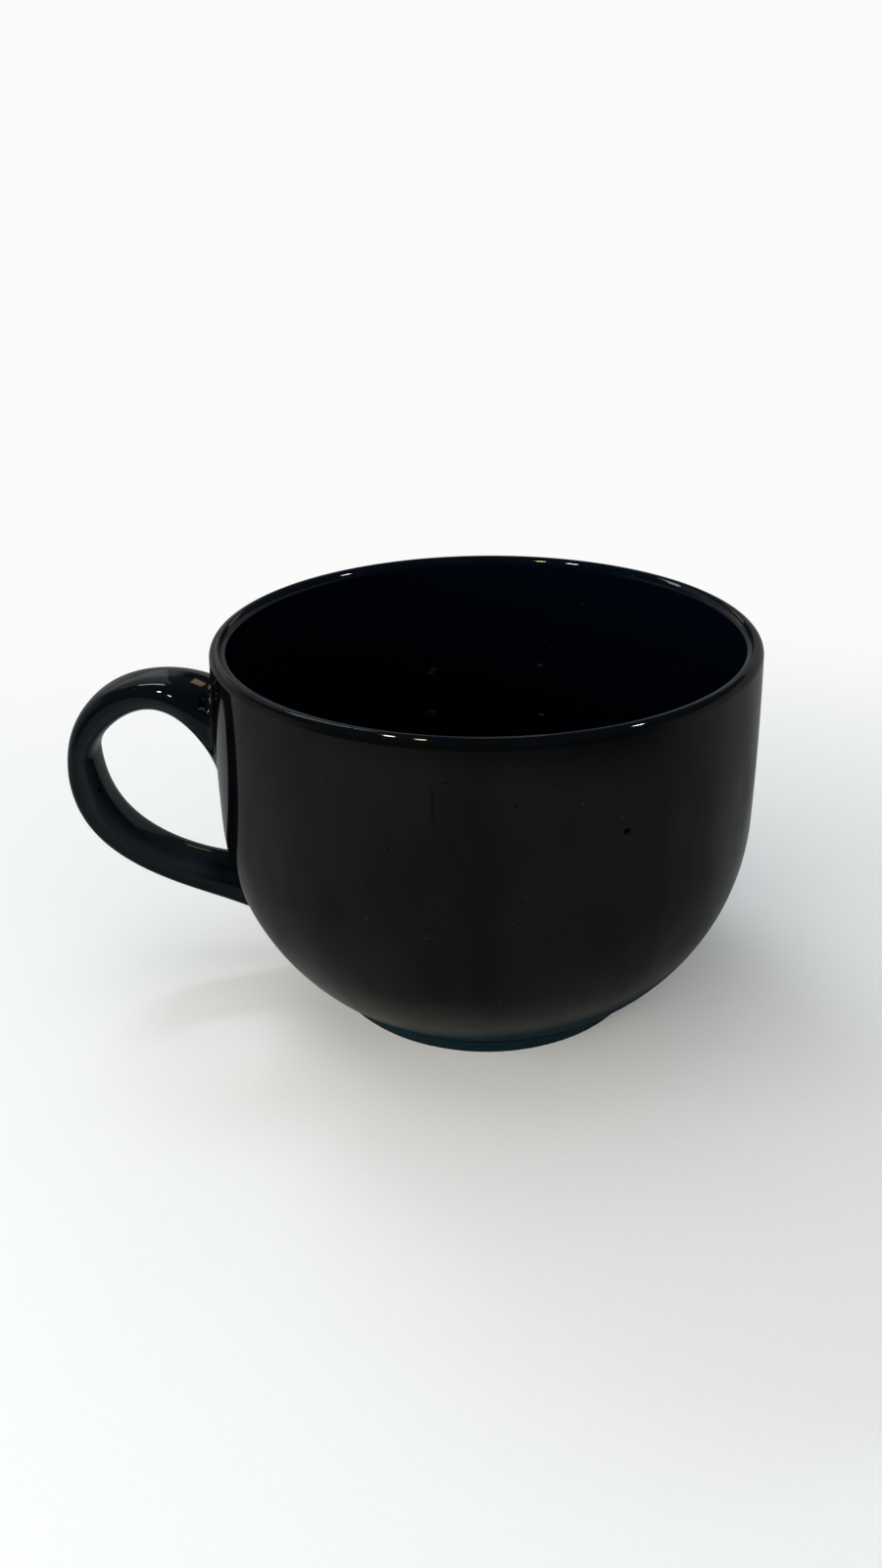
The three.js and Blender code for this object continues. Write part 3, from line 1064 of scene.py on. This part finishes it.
@dataclass
class Handle:
    """The ear: a strap of rounded section, with a soft collar of glazed slip at each root."""

    bowl: Bowl
    drop: float = 14.7
    height: float = 58.7
    thickness: float = 7.0
    width: float = 13.2
    upper_flare: float = 10.0
    upper_flare_length: float = 15.5
    lower_flare: float = 3.0
    lower_flare_length: float = 9.0
    crown: float = 3.75
    crown_flare: float = 1.3
    section_power: float = 2.6
    upper_depth: float = 17.7
    lower_depth: float = 13.2
    back_crest_drop: float = 21.1
    finger_crest_drop: float = 15.7
    collar: float = 2.4
    sink: float = 0.3
    run_on: float = 0.5
    arm_steps: int = 64
    collar_steps: int = 12
    section_steps: int = 96
    run_steps: int = 400
    search_steps: int = 1499
    back: EdgeLine = field(init=False)
    finger: EdgeLine = field(init=False)

    def __post_init__(self) -> None:
        """Lays out the back line and the finger line from the solids' reach."""
        reach = self.bowl.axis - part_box("handle")[0].x / MM
        top = self.bowl.top - self.drop
        bottom = top - self.height
        self.back = EdgeLine(
            top=top, bottom=bottom, crest=(reach, top - self.back_crest_drop), top_angle=29.5,
            top_run=20.9, shoulder=21.3, hip=26.3, tail_angle=22.4, tail_run=19.6,
        )
        self.finger = EdgeLine(
            top=top - self.upper_depth, bottom=bottom + self.lower_depth,
            crest=(reach - self.thickness, top - self.finger_crest_drop), top_angle=71.4,
            top_run=28.6, shoulder=6.3, hip=19.5, tail_angle=8.0, tail_run=20.6,
        )

    def flares(self, place: np.ndarray) -> tuple[np.ndarray, np.ndarray]:
        """How strong each root's flare is: 1 at the wall, fading along the strap.

        Args:
            place: 0 at the upper root, 1 at the crest, 2 at the lower root.

        Returns:
            The upper root's share and the lower root's share.
        """
        stations = np.linspace(Root.UPPER.value, Root.LOWER.value, self.run_steps + 1)
        middle = (self.back.at(self.bowl, stations) + self.finger.at(self.bowl, stations)) / 2
        run = np.concatenate(([0.0], np.cumsum(np.linalg.norm(np.diff(middle, axis=0), axis=1))))
        along = np.interp(place, stations, run)
        upper = np.exp(-((along / self.upper_flare_length) ** 2))
        lower = np.exp(-(((run[-1] - along) / self.lower_flare_length) ** 2))
        return upper, lower

    def skin_at(self, place: np.ndarray) -> np.ndarray:
        """Points on the strap.

        Args:
            place: Where along the strap, for each line of the section.

        Returns:
            Points about the bowl's axis.
        """
        angle = np.linspace(0.0, 2 * math.pi, self.section_steps, endpoint=False)
        bend = 2 / self.section_power
        across = np.sign(np.cos(angle)) * np.abs(np.cos(angle)) ** bend
        along = np.sign(np.sin(angle)) * np.abs(np.sin(angle)) ** bend
        back, finger = self.back.at(self.bowl, place), self.finger.at(self.bowl, place)
        depth = np.linalg.norm(back - finger, axis=-1)
        outward = unit(back - finger)
        upper, lower = self.flares(place)
        crown = np.minimum(self.crown + self.crown_flare * upper, depth / 2)
        half_width = (self.width + self.upper_flare * upper + self.lower_flare * lower) / 2
        reach = np.where(across > 0, crown, depth - crown) * across - crown
        line = back + outward * reach[..., None]
        return np.stack((-line[..., 0], half_width * along, line[..., 1]), -1)

    def meeting(self, root: Root, off: float) -> np.ndarray:
        """Where each line of the strap comes within a distance of the wall.

        Args:
            root: The end of the strap.
            off: The distance from the wall.

        Returns:
            The place along the strap for each line.
        """
        past = self.run_on if root is Root.LOWER else -self.run_on
        search = np.linspace(CREST, root.value + past, self.search_steps + 1)
        places = np.repeat(search[:, None], self.section_steps, 1)
        gaps = self.bowl.stand_off(self.skin_at(places))[0] - off
        first = np.argmax(gaps < 0, axis=0)
        lines = np.arange(self.section_steps)
        before, after = gaps[first - 1, lines], gaps[first, lines]
        step = search[1] - search[0]
        return search[first] - step * after / (after - before)

    def arm(self, root: Root) -> tuple[np.ndarray, np.ndarray]:
        """Half of the handle, from the crest down to a collar that runs out on the wall.

        Args:
            root: The root that this half ends in.

        Returns:
            Rings of points from the crest, and the wall's normals under the last two rings.
        """
        leave = self.meeting(root, self.collar)
        share = np.linspace(0.0, 1.0, self.arm_steps)[:, None]
        strap = self.skin_at(CREST + (leave - CREST) * share)
        foot = self.skin_at(self.meeting(root, 0.0)[None])[0]
        normal = self.bowl.stand_off(foot)[1]
        outline = np.roll(foot, -1, axis=0) - np.roll(foot, 1, axis=0)
        out = unit(np.cross(outline, normal))
        out *= np.sign(np.sum(out * (foot - foot.mean(0)), -1)).mean()
        edge = self.bowl.onto_wall(foot + self.collar * out)
        normal = self.bowl.stand_off(edge)[1]
        out = unit(out - np.sum(out * normal, -1, keepdims=True) * normal)
        rounds = shares(self.collar_steps)[1:, None]
        collar = bezier([strap[-1], edge - self.collar * out, edge], rounds)
        sunk = edge + self.sink * (out - normal)
        return np.vstack((strap, collar, sunk[None])), np.stack((normal, normal))

    def surface(self) -> tuple[np.ndarray, np.ndarray]:
        """The whole handle as one run of rings.

        Returns:
            Rings from the upper root to the lower one, and their outward normals.
        """
        upper, upper_wall = self.arm(Root.UPPER)
        lower, lower_wall = self.arm(Root.LOWER)
        rings = np.vstack((upper[::-1], lower[1:]))
        along = np.gradient(rings, axis=0)
        around = np.roll(rings, -1, axis=1) - np.roll(rings, 1, axis=1)
        normals = unit(np.cross(along, around))
        outward = rings - rings.mean(1, keepdims=True)
        normals *= np.sign(np.sum(normals * outward, -1).mean())
        normals[:2] = upper_wall[::-1]
        normals[-2:] = lower_wall
        return rings, normals

    def build(self, finish: BlackGlaze, collar_finish: BlackGlaze) -> list[bpy.types.Object]:
        """Builds and dresses the strap and its two collars.

        Args:
            finish: The strap's glaze.
            collar_finish: The collars' glaze.

        Returns:
            The three pieces.
        """
        rings, normals = self.surface()
        cut = self.collar_steps + 2
        parts = {
            "cup_upper_collar": (slice(None, cut), "upper_handle_slip", Slot.FIRED_SLIP, collar_finish),
            "cup_handle": (slice(cut - 1, 1 - cut), "handle", Slot.BLACK_GLAZE, finish),
            "cup_lower_collar": (slice(-cut, None), "lower_handle_slip", Slot.FIRED_SLIP, collar_finish),
        }
        pieces = []
        for name, (span, node, slot, glaze) in parts.items():
            skin = Skin.sleeve(rings[span], normals[span])
            piece = skin.piece(name, self.bowl.axis, glaze.material())
            settle(piece, node)
            pieces.append(piece)
        return pieces


@dataclass
class Camera:
    """The camera, standing where the photograph was taken."""

    bowl: Bowl
    azimuth: float = 0.7
    distance: float = 251.1
    height: float = 175.2
    heading: float = -3.06
    dip: float = 26.65
    roll: float = -1.17
    lens: float = 27.0
    sensor: float = 36.0
    clip: Span = (0.01, 50.0)

    def build(self) -> bpy.types.Object:
        """Places the camera and makes it the scene's own.

        Returns:
            The camera.
        """
        data = bpy.data.cameras.new("camera")
        data.lens, data.sensor_width = self.lens, self.sensor
        data.clip_start, data.clip_end = self.clip
        turn = math.radians(self.azimuth)
        place = Vector((self.bowl.axis, 0.0, self.height))
        place += self.distance * Vector((math.sin(turn), -math.cos(turn), 0.0))
        aim = (
            Matrix.Rotation(-math.radians(self.heading), 4, "Z")
            @ Matrix.Rotation(math.radians(90.0 - self.dip), 4, "X")
            @ Matrix.Rotation(math.radians(self.roll), 4, "Z")
        )
        made = bpy.data.objects.new("camera", data)
        made.matrix_world = Matrix.Translation(place * MM) @ aim
        bpy.context.scene.collection.objects.link(made)
        bpy.context.scene.camera = made
        return made


def hang(lamp: bpy.types.Light, place: Vector, back: Vector) -> bpy.types.Object:
    """Hangs a lamp.

    Args:
        lamp: The lamp.
        place: Where it hangs, in millimetres of the shared frame.
        back: Where its back faces.

    Returns:
        The lamp as an object.
    """
    made = bpy.data.objects.new(lamp.name, lamp)
    made.location = place * MM
    made.rotation_mode = "QUATERNION"
    made.rotation_quaternion = back.to_track_quat("Z", "Y")
    bpy.context.scene.collection.objects.link(made)
    return made


@dataclass(frozen=True)
class SparkLamp:
    """A small lamp that shows as a spark in the glaze and adds next to no light."""

    name: str
    azimuth: float
    elevation: float
    colour: Colour = (1.0, 1.0, 1.0)
    radius: float = 30.0
    radiance: float = 750.0
    distance: float = 1200.0
    aim_height: float = 60.0

    def build(self, axis: float) -> bpy.types.Object:
        """Hangs the lamp, facing the bowl.

        Args:
            axis: Where the bowl's axis stands along X.

        Returns:
            The lamp.
        """
        data = bpy.data.lights.new(self.name, "AREA")
        data.shape = "DISK"
        data.size = 2 * self.radius * MM
        data.color = self.colour
        data.energy = self.radiance * (math.pi * self.radius * MM) ** 2
        turn, climb = math.radians(self.azimuth), math.radians(self.elevation)
        back = Vector((
            math.cos(turn) * math.cos(climb), math.sin(turn) * math.cos(climb), math.sin(climb),
        ))
        made = hang(data, Vector((axis, 0.0, self.aim_height)) + back * self.distance, back)
        made.visible_diffuse = False
        return made


@dataclass(frozen=True)
class SoftLamp:
    """A wide soft lamp that lights the floor and the cup, and shows in the glaze where it is mirrored."""

    name: str
    place: Triple
    width: float
    depth: float
    radiance: float
    colour: Colour = (1.0, 1.0, 1.0)
    mirrored: bool = False
    aim: Triple = (0.0, 0.0, 0.0)

    def build(self, axis: float) -> bpy.types.Object:
        """Hangs the lamp, facing its aim.

        Args:
            axis: Where the bowl's axis stands along X.

        Returns:
            The lamp.
        """
        data = bpy.data.lights.new(self.name, "AREA")
        data.shape = "RECTANGLE"
        data.size, data.size_y = self.width * MM, self.depth * MM
        data.color = self.colour
        data.energy = self.radiance * math.pi * self.width * self.depth * MM ** 2
        place = Vector(self.place)
        made = hang(data, place + Vector((axis, 0.0, 0.0)), place - Vector(self.aim))
        made.visible_glossy = self.mirrored
        return made


@dataclass
class Studio:
    """A pale floor with a sweep all round it, under a dim sky, with soft lamps and small ones."""

    bowl: Bowl
    floor_radius: float = 900.0
    sweep_radius: float = 500.0
    wall_height: float = 750.0
    below: float = 0.05
    steps: int = 120
    sky: Colour = (0.70, 0.88, 1.0)
    horizon: Colour = (0.08, 0.09, 0.10)
    sky_strength: float = 0.30
    sky_fade: Span = (0.1, 0.5)
    bend_steps: int = 32

    def lamps(self) -> list[SparkLamp | SoftLamp]:
        """The lamps of the set.

        Returns:
            Four soft lamps that light it, a panel and two windows that the glaze mirrors, and three small
            lamps placed by their sparks on the lip.
        """
        warm = (1.0, 0.95, 0.87)
        return [
            SoftLamp("soft_overhead", (-220.0, 60.0, 850.0), 600.0, 600.0, 1.4),
            SoftLamp("soft_front", (-450.0, -800.0, 260.0), 900.0, 420.0, 8.5, warm),
            SoftLamp("soft_left", (-850.0, -250.0, 260.0), 500.0, 380.0, 5.0, warm),
            SoftLamp("soft_right", (700.0, -420.0, 280.0), 500.0, 380.0, 2.8, warm),
            SoftLamp("pale_panel", (-660.0, 943.0, 745.0), 900.0, 700.0, 0.95, mirrored=True),
            SoftLamp("window_line", (-425.0, 681.0, 952.0), 420.0, 70.0, 22.0, (0.78, 0.95, 1.0), True),
            SoftLamp("window_warm", (9.0, 1064.0, 614.0), 110.0, 80.0, 5.5, (1.0, 0.62, 0.34), True),
            SparkLamp("lamp_white_left", 177.5, 70.3),
            SparkLamp("lamp_warm_left", 208.0, 74.0, (1.0, 0.72, 0.36)),
            SparkLamp("lamp_white_right", 16.8, 57.4),
        ]

    def sweep(self) -> Skin:
        """The floor and the sweep round it.

        Returns:
            The skin, facing in.
        """
        centre = (self.floor_radius, self.sweep_radius)
        bend = arc(centre, self.sweep_radius, -math.pi / 2, 0.0, self.bend_steps)
        wall = [(self.floor_radius + self.sweep_radius, self.wall_height)]
        skin = Skin.turned(np.vstack(([(0.0, 0.0)], bend, wall)) - (0.0, self.below), self.steps)
        skin.faces = [tuple(reversed(face)) for face in skin.faces]
        return skin

    def build(self) -> None:
        """Builds the sweep, the sky and the lamps."""
        scene = bpy.context.scene
        scene.view_settings.view_transform = "Standard"
        self.sweep().piece("sweep", self.bowl.axis, StudioPaper().material())
        scene.world = bpy.data.worlds.new("sky")
        scene.world.use_nodes = True
        nodes = Nodes(scene.world.node_tree)
        up = nodes.height(nodes.node("ShaderNodeTexCoord", output="Generated"))
        colour = nodes.blend(self.horizon, self.sky, up.rise(*self.sky_fade))
        sky = nodes.node("ShaderNodeBackground", None, {"Color": colour, "Strength": self.sky_strength})
        nodes.finish(sky, "ShaderNodeOutputWorld")
        for lamp in self.lamps():
            lamp.build(self.bowl.axis)


def main() -> None:
    """Builds the cup and its studio, in order."""
    logging.basicConfig(level=logging.INFO, format="%(name)s: %(message)s")
    bowl = Bowl()
    Camera(bowl).build()
    bowl.build(BlackGlaze("bowl_glaze", bowl.axis, blemishes=(PINHOLE, SCAR, SMALL_SCAR)))
    Foot(bowl).build(FootGlaze("foot_glaze"), BlackGlaze("seam_glaze", bowl.axis))
    ear_glaze = EarGlazePaintedLight("handle_glaze", bowl.axis, blemishes=(HANDLE_PINHOLE,))
    Handle(bowl).build(ear_glaze, EarGlazePaintedLight("collar_glaze", bowl.axis))
    Studio(bowl).build()


if __name__ == "__main__":
    main()
